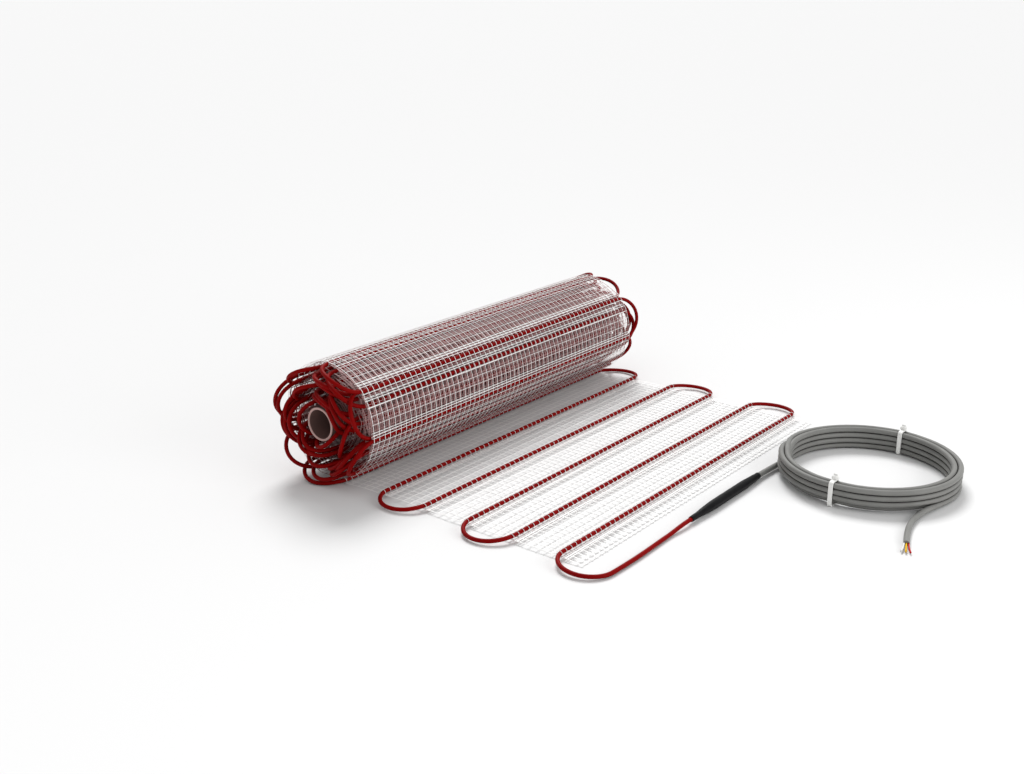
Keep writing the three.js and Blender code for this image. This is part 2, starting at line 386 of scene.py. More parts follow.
def length_at(angle):
    return LAID_LENGTH + ROLL_RADIUS * angle - TURN_PITCH * angle**2 / (4 * math.pi)


def on_mat(s, h):
    """The place across X of a point on the mat, as y and z."""
    s = np.asarray(s, float)
    angle = angle_at(s)
    radius = ROLL_RADIUS - TURN_PITCH * angle / (2 * math.pi) - h
    rolled = s > LAID_LENGTH
    y = FRONT_Y + np.where(rolled, LAID_LENGTH + radius * np.sin(angle), s)
    z = np.where(rolled, ROLL_RADIUS - radius * np.cos(angle), h)
    return y, z


def angle_at_radius(radius):
    return 2 * math.pi * (ROLL_RADIUS - radius) / TURN_PITCH


def laid_lift(s):
    """How far the laid net springs up off the floor, down to nothing under the roll."""
    s = np.asarray(s, float)
    spring = NET_LIFT * ease(s / 0.03 + 0.4) * ease((LAID_LENGTH - s) / 0.08)
    between = np.clip((s - LAID_LEGS[0]) / LEG_PITCH, 0, None) % 1
    inside = (s > LAID_LEGS[0]) & (s < LAID_LENGTH - 0.01)
    return spring + np.where(inside, NET_BULGE * np.sin(math.pi * between) ** 2, 0)


NET_END_ANGLE = angle_at_radius(TUBE_RADIUS + JOINT_GAP + NET_THICKNESS)
CABLE_END_ANGLE = angle_at_radius(TUBE_RADIUS + TUBE_CLEARANCE + CABLE_RADIUS + CABLE_HEIGHT)
NET_LENGTH = length_at(NET_END_ANGLE)
LEG_COUNT = int((length_at(CABLE_END_ANGLE) - EXIT_S) / LEG_PITCH)
LEGS = EXIT_S + LEG_PITCH * (np.arange(LEG_COUNT) + 1)
LAID_LEGS = LEGS[LEGS < LAID_LENGTH]
LOOP_RADIUS = LEG_PITCH / 2
LOOP_CENTRE_X = LOOP_REACH - CABLE_RADIUS - LOOP_RADIUS


def settling(position):
    """How far a leg in the roll settles outward, until it comes under a leg of a turn outside it."""
    angle = float(angle_at(position))
    turn = int(angle / (2 * math.pi))
    room = 1.0
    depth = 0.0
    for outside in range(1, min(turn, SETTLING_TURNS) + 1):
        offset = (float(length_at(angle - 2 * math.pi * outside)) - FIRST_LEG) % LEG_PITCH
        apart = min(offset, LEG_PITCH - offset)
        room *= float(ease((apart - NO_ROOM_WITHIN) / ROOM_EASING))
        depth += SETTLING * TURN_PITCH * room
    return depth * (1 - float(ease((turn - SETTLING_TURNS) / SETTLING_FADE)))


SETTLED = np.array([settling(position) for position in LEGS])


# Shader groups and materials


def node(tree, kind, **settings):
    made = tree.nodes.new(kind)
    for name, value in settings.items():
        setattr(made, name, value)
    return made


def join(tree, *links):
    """Links nodes. Each link is a node and its output, then the next node and its input."""
    for start, output, end, entry in links:
        tree.links.new(start.outputs[output], end.inputs[entry])


def new_group(name, inputs, outputs):
    """An empty shader group. Its inputs are defaults by name, and its outputs are socket types by name."""
    tree = bpy.data.node_groups.new(name, "ShaderNodeTree")
    for title, default in inputs.items():
        kind = "NodeSocketColor" if isinstance(default, tuple) else "NodeSocketFloat"
        tree.interface.new_socket(name=title, in_out="INPUT", socket_type=kind).default_value = default
    for title, kind in outputs.items():
        tree.interface.new_socket(name=title, in_out="OUTPUT", socket_type=kind)
    return tree, node(tree, "NodeGroupInput"), node(tree, "NodeGroupOutput")


def grain_group():
    """Fine grain on a surface: a mask and a height from two sizes of noise."""
    tree, inputs, outputs = new_group(
        "Fine Grain", {"Scale": 900.0, "Coarse Share": 0.4},
        {"Mask": "NodeSocketFloat", "Height": "NodeSocketFloat"})
    place_at = node(tree, "ShaderNodeTexCoord")
    fine = node(tree, "ShaderNodeTexNoise", noise_dimensions="3D")
    fine.inputs["Detail"].default_value = 3
    coarse_scale = node(tree, "ShaderNodeMath", operation="MULTIPLY")
    coarse_scale.inputs[1].default_value = 0.12
    coarse = node(tree, "ShaderNodeTexNoise", noise_dimensions="3D")
    coarse.inputs["Detail"].default_value = 2
    mix = node(tree, "ShaderNodeMix", data_type="FLOAT")
    join(
        tree,
        (place_at, "Object", fine, "Vector"),
        (place_at, "Object", coarse, "Vector"),
        (inputs, "Scale", fine, "Scale"),
        (inputs, "Scale", coarse_scale, 0),
        (coarse_scale, 0, coarse, "Scale"),
        (inputs, "Coarse Share", mix, "Factor"),
        (fine, "Fac", mix, "A"),
        (coarse, "Fac", mix, "B"),
        (coarse, "Fac", outputs, "Mask"),
        (mix, "Result", outputs, "Height"),
    )
    return tree


def handling_group():
    """Uneven colour from handling: the clean colour, with duller and paler patches."""
    tree, inputs, outputs = new_group("Handling Marks", {
        "Colour": (0.5, 0.5, 0.5, 1),
        "Dull Colour": (0.4, 0.4, 0.4, 1),
        "Scale": 30.0,
        "Amount": 0.5,
        "Low Roughness": 0.3,
        "High Roughness": 0.5,
    }, {"Colour": "NodeSocketColor", "Roughness": "NodeSocketFloat"})
    place_at = node(tree, "ShaderNodeTexCoord")
    noise = node(tree, "ShaderNodeTexNoise", noise_dimensions="3D")
    noise.inputs["Detail"].default_value = 4
    sharpen = node(tree, "ShaderNodeMapRange")
    sharpen.inputs["From Min"].default_value = 0.4
    sharpen.inputs["From Max"].default_value = 0.65
    amount = node(tree, "ShaderNodeMath", operation="MULTIPLY")
    colour = node(tree, "ShaderNodeMix", data_type="RGBA")
    rough = node(tree, "ShaderNodeMix", data_type="FLOAT")
    join(
        tree,
        (place_at, "Object", noise, "Vector"),
        (inputs, "Scale", noise, "Scale"),
        (noise, "Fac", sharpen, "Value"),
        (sharpen, "Result", amount, 0),
        (inputs, "Amount", amount, 1),
        (amount, 0, colour, "Factor"),
        (inputs, "Colour", colour, "A"),
        (inputs, "Dull Colour", colour, "B"),
        (sharpen, "Result", rough, "Factor"),
        (inputs, "Low Roughness", rough, "A"),
        (inputs, "High Roughness", rough, "B"),
        (colour, "Result", outputs, "Colour"),
        (rough, "Result", outputs, "Roughness"),
    )
    return tree


def crevice_group():
    """Painted shade: a colour made dark, from ambient occlusion, in the narrow gaps where strands lie
    against each other.
    """
    tree, inputs, outputs = new_group(
        "Crevice Shade", {"Colour": (0.5, 0.5, 0.5, 1), "Depth": 0.85, "Distance": 0.004},
        {"Colour": "NodeSocketColor"})
    gap = node(tree, "ShaderNodeAmbientOcclusion", samples=6)
    open_part = node(tree, "ShaderNodeMapRange")
    open_part.inputs["From Min"].default_value = 0.2
    open_part.inputs["From Max"].default_value = 0.75
    lost = node(tree, "ShaderNodeMath", operation="SUBTRACT")
    lost.inputs[0].default_value = 1
    shade = node(tree, "ShaderNodeMath", operation="MULTIPLY")
    mix = node(tree, "ShaderNodeMix", data_type="RGBA")
    # The near-black colour of the painted shade in the gaps
    mix.inputs["B"].default_value = (0.01, 0.004, 0.004, 1)
    join(
        tree,
        (inputs, "Distance", gap, "Distance"),
        (gap, "AO", open_part, "Value"),
        (open_part, "Result", lost, 1),
        (lost, 0, shade, 0),
        (inputs, "Depth", shade, 1),
        (shade, 0, mix, "Factor"),
        (inputs, "Colour", mix, "A"),
        (mix, "Result", outputs, "Colour"),
    )
    return tree


def shared_group(name, make):
    return bpy.data.node_groups.get(name) or make()


def shade_crevices(material, depth, distance):
    """Paints shade into a finish in the gaps between strands. The distance is how wide a gap still counts.
    """
    tree = material.node_tree
    shader = tree.nodes["Principled BSDF"]
    clean = shader.inputs["Base Color"].links[0].from_socket
    crevice = node(tree, "ShaderNodeGroup", node_tree=shared_group("Crevice Shade", crevice_group))
    crevice.inputs["Depth"].default_value = depth
    crevice.inputs["Distance"].default_value = distance
    tree.links.new(clean, crevice.inputs["Colour"])
    join(tree, (crevice, "Colour", shader, "Base Color"))


def scaled_colour(colour, factor):
    return tuple(min(1.0, channel * factor) for channel in colour[:3]) + (1.0,)


def worn_material(name, colour, dull, marks_scale, marks, roughness, grain_scale, coarse, bump, distance):
    """A finish with handling marks and fine grain. Its roughness is a pair, low and high."""
    material = bpy.data.materials.new(name)
    material.use_nodes = True
    tree = material.node_tree
    shader = tree.nodes["Principled BSDF"]
    handling = node(tree, "ShaderNodeGroup", node_tree=shared_group("Handling Marks", handling_group))
    handling.inputs["Colour"].default_value = colour
    handling.inputs["Dull Colour"].default_value = dull
    handling.inputs["Scale"].default_value = marks_scale
    handling.inputs["Amount"].default_value = marks
    handling.inputs["Low Roughness"].default_value = roughness[0]
    handling.inputs["High Roughness"].default_value = roughness[1]
    grain = node(tree, "ShaderNodeGroup", node_tree=shared_group("Fine Grain", grain_group))
    grain.inputs["Scale"].default_value = grain_scale
    grain.inputs["Coarse Share"].default_value = coarse
    relief = node(tree, "ShaderNodeBump")
    relief.inputs["Strength"].default_value = bump
    relief.inputs["Distance"].default_value = distance
    join(
        tree,
        (handling, "Colour", shader, "Base Color"),
        (handling, "Roughness", shader, "Roughness"),
        (grain, "Height", relief, "Height"),
        (relief, "Normal", shader, "Normal"),
    )
    return material


def jacket_material(name, colour, gloss=0.36, index=1.2, crevices=0.9):
    """A cable's moulded plastic jacket, with painted shade in the gaps between its strands."""
    material = worn_material(name, tuple(colour), scaled_colour(colour, 0.82), marks_scale=40, marks=0.5,
                             roughness=(gloss, gloss + 0.14), grain_scale=1500, coarse=0.5, bump=0.12,
                             distance=0.0002)
    material.node_tree.nodes["Principled BSDF"].inputs["IOR"].default_value = index
    # Painted shade where strands lie against each other; crevices sets how dark it gets
    shade_crevices(material, crevices, distance=0.004)
    return material


def glass_fibre_material(name, colour):
    """Coated glass-fibre yarn: nearly white, with a soft sheen and a fine twist."""
    material = worn_material(name, tuple(colour), scaled_colour(colour, 0.94), marks_scale=60, marks=0.6,
                             roughness=(0.5, 0.68), grain_scale=2600, coarse=0.25, bump=0.4,
                             distance=0.0002)
    shader = material.node_tree.nodes["Principled BSDF"]
    shader.inputs["Sheen Weight"].default_value = 0.15
    shader.inputs["Subsurface Weight"].default_value = 0.1
    shader.inputs["Subsurface Radius"].default_value = (0.001, 0.001, 0.001)
    return material


def shrink_material(colour):
    """Black heat-shrink tube, drawn tight over the splice."""
    material = worn_material("black_heat_shrink", tuple(colour), scaled_colour(colour, 2.2), marks_scale=55,
                             marks=0.7, roughness=(0.34, 0.5), grain_scale=420, coarse=0.65, bump=0.3,
                             distance=0.0004)
    material.node_tree.nodes["Principled BSDF"].inputs["IOR"].default_value = 1.15
    return material


def nylon_material(colour):
    """White nylon that lets a little light in."""
    material = worn_material("white_nylon", tuple(colour), scaled_colour(colour, 0.93), marks_scale=80,
                             marks=0.4, roughness=(0.32, 0.45), grain_scale=1400, coarse=0.3, bump=0.1,
                             distance=0.0002)
    shader = material.node_tree.nodes["Principled BSDF"]
    shader.inputs["Subsurface Weight"].default_value = 0.25
    shader.inputs["Subsurface Radius"].default_value = (0.002, 0.002, 0.002)
    return material


def card_material(face, rim):
    """Wound card: dull brown faces and paler cut rims."""
    material = worn_material("wound_card", tuple(face), scaled_colour(face, 1.25), marks_scale=90,
                             marks=0.7, roughness=(0.8, 0.95), grain_scale=1100, coarse=0.5, bump=0.5,
                             distance=0.0004)
    tree = material.node_tree
    shader = tree.nodes["Principled BSDF"]
    handling = next(n for n in tree.nodes if n.type == "GROUP" and n.node_tree.name == "Handling Marks")
    place_at = node(tree, "ShaderNodeTexCoord")
    split = node(tree, "ShaderNodeSeparateXYZ")
    along = node(tree, "ShaderNodeMath", operation="ABSOLUTE")
    rim_mask = node(tree, "ShaderNodeMapRange")
    rim_mask.inputs["From Min"].default_value = TUBE_HIGH.x - 0.0012
    rim_mask.inputs["From Max"].default_value = TUBE_HIGH.x - 0.0006
    rim_mix = node(tree, "ShaderNodeMix", data_type="RGBA")
    rim_mix.inputs["B"].default_value = tuple(rim)
    join(
        tree,
        (place_at, "Object", split, 0),
        (split, "X", along, 0),
        (along, 0, rim_mask, "Value"),
        (rim_mask, "Result", rim_mix, "Factor"),
        (handling, "Colour", rim_mix, "A"),
        (rim_mix, "Result", shader, "Base Color"),
    )
    return material


# The camera, first, so that the cord's reach is measured against the right view

CAMERA_PLACE = Vector((-1.0292, -0.7143, 0.5034))
CAMERA_TURN = -51.58
CAMERA_TILT = 70.97
CAMERA_LENS = 43.59


class HEATMAT_OT_camera(Operator):
    """Stand the camera where the photograph was taken from"""

    bl_idname = "heatmat.camera"
    bl_label = "Camera"

    def execute(self, context):
        data = bpy.data.cameras.new("photo_camera")
        data.lens = CAMERA_LENS
        data.clip_start = 0.05
        data.clip_end = 30
        camera = bpy.data.objects.new("photo_camera", data)
        camera.location = CAMERA_PLACE
        camera.rotation_euler = Euler((math.radians(CAMERA_TILT), 0, math.radians(CAMERA_TURN)))
        context.scene.collection.objects.link(camera)
        context.scene.camera = camera
        return {"FINISHED"}


# The cold lead, its ties and its conductors


def lead_run_points():
    start = Vector((SLEEVE_HIGH.x, EXIT_Y, 0))
    return [start + Vector(step) for step in LEAD_RUN_ROUTE]


def lead_tail_points():
    centre = Vector((COIL_CENTRE.x, COIL_CENTRE.y, 0))
    return [centre + Vector(step) for step in LEAD_TAIL_ROUTE]


def coil_points():
    """The turns of the coil, clockwise from above, changing slot once a turn on the side by the mat."""
    outer = COIL_RADIUS - LEAD_RADIUS - 0.0001
    inner = COIL_RADIUS - COIL_BAND + LEAD_RADIUS + 0.00005
    low = LEAD_RADIUS + COIL_FOOT
    layer = (COIL_HIGH.z - LEAD_RADIUS - COIL_SAG - low) / (COIL_LAYERS - 1)
    turned = 360 * (len(COIL_SLOTS) - 1) + (90 - TAIL_LEAVES_AT) % 360
    steps = int(turned / 6)
    a = np.linspace(0, turned, steps + 1)
    column = np.zeros_like(a) + COIL_SLOTS[0][0]
    row = np.zeros_like(a) + COIL_SLOTS[0][1]
    for n, (old, new) in enumerate(zip(COIL_SLOTS, COIL_SLOTS[1:])):
        middle = 360 * (n + 1) + 90 - (FIRST_CROSSING_AT - CROSSING_STEP * n)
        done = ease((a - middle) / CROSSING_WIDTH + 0.5)
        column += (new[0] - old[0]) * done
        row += (new[1] - old[1]) * done
    theta = np.radians(90 - a)
    wander = 0.00018 * np.sin(theta * 3 + row * 2.1) + 0.00012 * np.sin(theta * 5 + column * 3 + row)
    radius = inner + (outer - inner) * column + wander
    over_tie = np.exp(-((np.sin(theta) * COIL_RADIUS / TIE_LIFT_REACH) ** 2)) * (1 - row / COIL_LAYERS)
    z = low + layer * row + (COIL_LOW.z - COIL_FOOT) * over_tie
    x = COIL_CENTRE.x + radius * np.cos(theta)
    y = COIL_CENTRE.y + radius * np.sin(theta)
    return np.stack([x, y, z], axis=1)


def lead_points():
    coil = coil_points()
    run = smooth_route([*lead_run_points(), coil[0]], 3)
    tail = smooth_route([coil[-1], *lead_tail_points()], 3)
    return np.vstack([run[:-1], coil, tail[1:]])


def curve_data(name, points, radius, resolution=6):
    data = bpy.data.curves.new(name, "CURVE")
    data.dimensions = "3D"
    data.bevel_depth = radius
    data.bevel_resolution = resolution
    data.use_fill_caps = True
    spline = data.splines.new("POLY")
    spline.points.add(len(points) - 1)
    flat = np.column_stack([points, np.ones(len(points))]).ravel()
    spline.points.foreach_set("co", flat)
    spline.use_smooth = True
    return data


def tie_outline(half_band, top, corner, thickness, steps=6):
    """Inner and outer lines of a strap round the coil's section, as pairs of radius and height."""
    inner = []
    outer = []
    left, right = -half_band, half_band
    bottom = TIE_THICKNESS
    corners = ((right, top, 0), (left, top, 90), (left, bottom, 180), (right, bottom, 270))
    for x, z, start in corners:
        centre_x = x - math.copysign(corner, x)
        centre_z = z - corner if z == top else z + corner
        for i in range(steps + 1):
            angle = math.radians(start + 90 * i / steps)
            direction = (math.cos(angle), math.sin(angle))
            inner.append((centre_x + corner * direction[0], centre_z + corner * direction[1]))
            outer.append((centre_x + (corner + thickness) * direction[0],
                          centre_z + (corner + thickness) * direction[1]))
    return inner, outer


def strap(builder, inner, outer, half_width, bevel):
    """A closed band: an inner and an outer line, with eased edges."""
    count = len(inner)
    rings = (
        [(x, -half_width, z) for x, z in inner],
        [(x, -half_width + bevel, z) for x, z in outer],
        [(x, half_width - bevel, z) for x, z in outer],
        [(x, half_width, z) for x, z in inner],
    )
    vertices = [corner for ring in rings for corner in ring]
    faces = []
    for level in range(4):
        above = (level + 1) % 4
        for i in range(count):
            j = (i + 1) % count
            faces.append((level * count + i, above * count + i, above * count + j, level * count + j))
    builder.add(vertices, faces)


def eased_box(builder, low, high, edge):
    """A box whose upright and level edges are cut back."""
    lx, ly, lz = low
    hx, hy, hz = high
    rings = []
    for z, inset in ((lz, edge), (lz + edge, 0), (hz - edge, 0), (hz, edge)):
        x0, x1, y0, y1 = lx + inset, hx - inset, ly + inset, hy - inset
        rings.append([(x0 + edge, y0, z), (x1 - edge, y0, z), (x1, y0 + edge, z), (x1, y1 - edge, z),
                      (x1 - edge, y1, z), (x0 + edge, y1, z), (x0, y1 - edge, z), (x0, y0 + edge, z)])
    builder.add_grid(np.array(rings))


def tie_mesh(name, degrees, head_side):
    """A cable tie: the strap, its ratchet head and the cut-off end of the strap."""
    mean_radius = COIL_RADIUS - COIL_BAND / 2
    half_band = COIL_BAND / 2 + JOINT_GAP
    top = COIL_HIGH.z + JOINT_GAP
    builder = Builder()
    inner, outer = tie_outline(half_band, top, 0.0025, TIE_THICKNESS)
    strap(builder, inner, outer, TIE_WIDTH / 2, 0.0003)
    head = head_side * TIE_HEAD_OFFSET
    half_head = 0.003
    head_base = top + TIE_THICKNESS * 0.5
    head_top = top + 0.005
    eased_box(builder, (head - half_head, -half_head, head_base), (head + half_head, half_head, head_top),
              0.0009)
    eased_box(builder, (head - 0.0007, -TIE_WIDTH / 2 + 0.0003, head_top - 0.001),
              (head + 0.0007, TIE_WIDTH / 2 - 0.0003, head_top + 0.0016), 0.0003)
    data = builder.mesh(name, smooth=False)
    turn = math.radians(degrees)
    spots = np.array([v.co[:] for v in data.vertices])
    x = mean_radius + spots[:, 0]
    moved_x = COIL_CENTRE.x + x * math.cos(turn) - spots[:, 1] * math.sin(turn)
    moved_y = COIL_CENTRE.y + x * math.sin(turn) + spots[:, 1] * math.cos(turn)
    moved = np.stack([moved_x, moved_y, spots[:, 2]], axis=1)
    data.vertices.foreach_set("co", moved.ravel())
    data.update()
    return data


def conductor_mesh(name, side):
    """One insulated conductor that bends to its own side."""
    route = lead_tail_points()
    end = route[-1]
    ahead = (route[-1] - route[-2]).normalized()
    across = Vector((-ahead.y, ahead.x, 0))
    points = []
    for i in range(9):
        t = i / 8
        spread = side * (CONDUCTOR_DIAMETER + JOINT_GAP + CONDUCTOR_SPLAY * t * t)
        lift = -0.0009 * t
        points.append(end + ahead * (JOINT_GAP - 0.002 + (CONDUCTOR_LENGTH + 0.002) * t) + across * spread
                      + Vector((0, 0, lift)))
    builder = Builder()
    builder.add_grid(tube_grid(points, CONDUCTOR_DIAMETER / 2, 14))
    return builder.mesh(name)


class HEATMAT_OT_cold_lead(Operator):
    """Lay the cold lead, its coil, its ties and its bare conductors"""

    bl_idname = "heatmat.cold_lead"
    bl_label = "Cold lead"

    def execute(self, context):
        settings = context.scene.heatmat_lead
        nylon = nylon_material(settings.tie_colour)
        for number, (degrees, head_side) in enumerate(TIE_PLACES, 1):
            data = tie_mesh(f"tie_strap_{number}", degrees, head_side)
            place(f"tie_strap_{number}", data, nylon, "white_nylon", f"cable_tie_{number}")
        for name, side, slot, colour in (
            ("left", -1, "pale_wire", (0.78, 0.78, 0.76, 1)),
            ("middle", 0, "yellow_wire", (0.8, 0.48, 0.01, 1)),
            ("right", 1, "red_wire", (0.5, 0.008, 0.008, 1)),
        ):
            data = conductor_mesh(f"wire_{name}", side)
            place(f"wire_{name}", data, jacket_material(f"wire_{name}", colour), slot,
                               f"conductor_{name}")
        data = curve_data("cold_lead", lead_points(), LEAD_RADIUS)
        jacket = jacket_material("grey_jacket", settings.jacket_colour, gloss=0.42)
        lead = place("cold_lead", data, jacket, "grey_jacket", "cold_lead_run", "cold_lead_coil",
                     "cold_lead_tail")
        return {"FINISHED"}


# The heating cable


def cable_points(flare):
    """The whole route of the heating cable, from the sleeve to its inner end beside the tube."""
    chance = random.Random(4)
    points = []

    def lay(x, s, h):
        y, z = on_mat(s, h)
        points.append((x, float(y), float(z)))

    start = SLEEVE_LOW.x - JOINT_GAP + 0.004
    run = start + LOOP_CENTRE_X
    floor = CABLE_RADIUS + 0.0002
    for i in range(24):
        t = i / 24
        x = start - run * t
        sink = ease((t - 0.08) / 0.26)
        h = SLEEVE_AXIS_Z + (floor - SLEEVE_AXIS_Z) * sink
        lay(x, EXIT_S + 0.0007 * math.sin(math.pi * t * 2) * ease(t * 3), h)
    for leg in range(LEG_COUNT):
        side = -1 if leg % 2 == 0 else 1
        middle = EXIT_S + LEG_PITCH * (leg + 0.5)
        first = leg == 0
        reach = 0.0 if first else chance.uniform(-0.0016, 0.0012)
        rolled = middle > LAID_LENGTH
        stand = chance.uniform(-0.4, 1.0) * flare if rolled else NET_LIFT + chance.uniform(0.0001, 0.0007)
        lean = 0.0 if first else chance.uniform(-0.0012, 0.0012)
        settled = SETTLED[leg]
        for i in range(21):
            angle = math.pi * i / 20
            out = math.sin(angle)
            x = side * (LOOP_CENTRE_X + (LOOP_RADIUS + reach) * out)
            s = middle - LOOP_RADIUS * math.cos(angle) + lean * out
            if first:
                h = floor + (CABLE_HEIGHT + float(laid_lift(FIRST_LEG)) - floor) * float(ease(i / 20))
            else:
                h = CABLE_HEIGHT + float(laid_lift(s)) - stand * out * out
            lay(x, s, h)
        if leg + 1 < LEG_COUNT:
            bend = chance.uniform(-0.0005, 0.0005)
            for t in (0.02, 0.04, 0.06, 0.09, 0.25, 0.4, 0.5, 0.6, 0.75, 0.91, 0.94, 0.96, 0.98):
                x = side * LOOP_CENTRE_X * (1 - 2 * t)
                s = middle + LOOP_RADIUS + bend * math.sin(2 * math.pi * t)
                deep = settled * float(ease((0.5 - abs(t - 0.5)) / 0.09))
                lay(x, s, CABLE_HEIGHT + float(laid_lift(s)) - deep)
    return np.array(points)


class HEATMAT_OT_heating_cable(Operator):
    """Lay the red heating cable along the mat and round the roll"""

    bl_idname = "heatmat.heating_cable"
    bl_label = "Heating cable"

    def execute(self, context):
        settings = context.scene.heatmat_cable
        builder = Builder()
        builder.add_grid(tube_grid(cable_points(settings.loop_flare), CABLE_RADIUS, 14))
        # The red jacket gets a lighter painted shade in its gaps (crevices=0.5)
        jacket = jacket_material("red_jacket", settings.jacket_colour, gloss=0.45, index=1.14, crevices=0.5)
        place("red_heating_cable", builder.mesh("red_heating_cable"), jacket, "red_jacket", "heating_cable")
        return {"FINISHED"}


class HEATMAT_OT_sleeve(Operator):
    """Shrink the black sleeve over the splice"""

    bl_idname = "heatmat.sleeve"
    bl_label = "Splice sleeve"

    def execute(self, context):
        length = SLEEVE_HIGH.x - SLEEVE_LOW.x
        cable_end = CABLE_RADIUS + SLEEVE_LIP
        lead_end = LEAD_RADIUS + SLEEVE_LIP
        chance = random.Random(9)
        profile = [(0.003, 0.0006), (0, CABLE_RADIUS + 0.0001), (0, cable_end)]
        for i in range(1, 60):
            t = i / 60
            x = length * t
            up = ease(x / SLEEVE_CABLE_TAPER)
            down = ease((length - x) / SLEEVE_LEAD_TAPER)
            left = cable_end + (SLEEVE_RADIUS - cable_end) * up
            right = lead_end + (SLEEVE_RADIUS - lead_end) * down
            ripple = 0.00012 * math.sin(t * 43) * (1 - up * down) + chance.uniform(-0.00004, 0.00002)
            profile.append((x, min(min(left, right) + ripple, SLEEVE_RADIUS)))
        profile += [(length, lead_end), (length, LEAD_RADIUS + 0.0001), (length - 0.003, 0.0006)]
        builder = Builder()
        builder.add_grid(turned_grid(profile, 48, (SLEEVE_LOW.x, EXIT_Y, SLEEVE_AXIS_Z)))
        place("shrink_sleeve", builder.mesh("shrink_sleeve"),
              shrink_material(context.scene.heatmat_cable.sleeve_colour), "black_shrink", "splice_sleeve")
        return {"FINISHED"}


# The net


def ridge(s):
    """How far the rolled net is pushed out over the legs under it."""
    angle = angle_at(s)
    push = np.zeros_like(s)
    for turns_in, height in enumerate(RIDGE_HEIGHTS):
        under = length_at(angle + 2 * math.pi * turns_in)
        nearest = (under - FIRST_LEG + LEG_PITCH / 2) % LEG_PITCH - LEG_PITCH / 2
        push = np.maximum(push, height * np.exp(-((nearest / RIDGE_WIDTH) ** 2)))
    return np.where((s > LAID_LENGTH) & (angle < 2 * math.pi), push - RIDGE_SAG, 0)


def lengthwise_stations():
    laid = np.arange(0, LAID_LENGTH, 0.012)
    outer = length_at(np.linspace(0.04, 2 * math.pi, 80))
    middle = length_at(np.arange(2 * math.pi + 0.1, 8 * math.pi, 0.1))
    inner = length_at(np.arange(8 * math.pi + 0.3, NET_END_ANGLE, 0.42))
    return np.concatenate([[-0.0016], laid[1:], outer, middle, inner])


def carried(s):
    """How far the net inside the roll is carried outward by the legs that have settled."""
    leg = np.clip(np.rint((s - FIRST_LEG) / LEG_PITCH).astype(int), 0, LEG_COUNT - 1)
    return SETTLED[leg] * np.exp(-(((s - LEGS[leg]) / CARRIED_WIDTH) ** 2))


def net_height(s):
    return NET_THICKNESS / 2 + laid_lift(s) - ridge(s) - carried(s)


def drawn_width(s, shares):
    """A thread's share of its full width at a place along the mat."""
    laid, outer, inner = shares
    turned = angle_at(s)
    return np.where(turned > 2 * math.pi, inner, np.where(turned > 0, outer, laid))


def tilt_of(y, z):
    """The net's outward direction at each point of a lengthwise line, as y and z."""
    dy, dz = np.gradient(y), np.gradient(z)
    size = np.hypot(dy, dz)
    return -dz / size, dy / size


def crosswise_places(cells):
    """Where threads cross the mat, and how wide: strong ones beside each leg, and even cells between."""
    places = [(0.0004, 1.0)]
    for k in range(-1, LEG_COUNT + 2):
        leg = FIRST_LEG + LEG_PITCH * k
        places += [(leg + offset, STRONG_THREAD) for offset in (-FRONT_OFFSET, -PAIR_OFFSET, PAIR_OFFSET)]
        places += [(leg + LEG_PITCH * cell / cells, 1.0) for cell in range(1, int(cells))]
    return [(s, width) for s, width in places if 0.0003 < s < NET_LENGTH - 0.001]


def lengthwise_threads(builder, settings):
    """Adds the threads that follow the mat's length."""
    chance = np.random.RandomState(11)
    stations = lengthwise_stations()
    # From the second turn in, the threads take the mesh's second material, the yarn with painted shade
    inner_start = int(np.searchsorted(stations, length_at(2 * math.pi)))
    half_width = settings.thread_width / 2
    half_thickness = settings.thread_thickness / 2
    y, z = on_mat(stations, net_height(stations))
    up_y, up_z = tilt_of(y, z)
    up = np.stack([np.zeros_like(stations), up_y, up_z], axis=1)
    across = np.broadcast_to([1.0, 0.0, 0.0], up.shape)
    count = int(round((2 * HALF_NET - 0.002) / settings.lengthwise_spacing))
    for x in np.linspace(-HALF_NET + 0.001, HALF_NET - 0.001, count + 1):
        swing = chance.uniform(0.0001, 0.00035)
        wave = x + swing * np.sin(stations * chance.uniform(20, 45) + chance.uniform(0, 6.3))
        wave = np.clip(wave, -HALF_NET + half_width, HALF_NET - half_width)
        points = np.stack([wave, y, z], axis=1)
        drawn = half_width * drawn_width(stations, LENGTHWISE_SHARES)[:, None]
        builder.add_grid(tape_grid(points, across, up, drawn, half_thickness), second_from=inner_start)


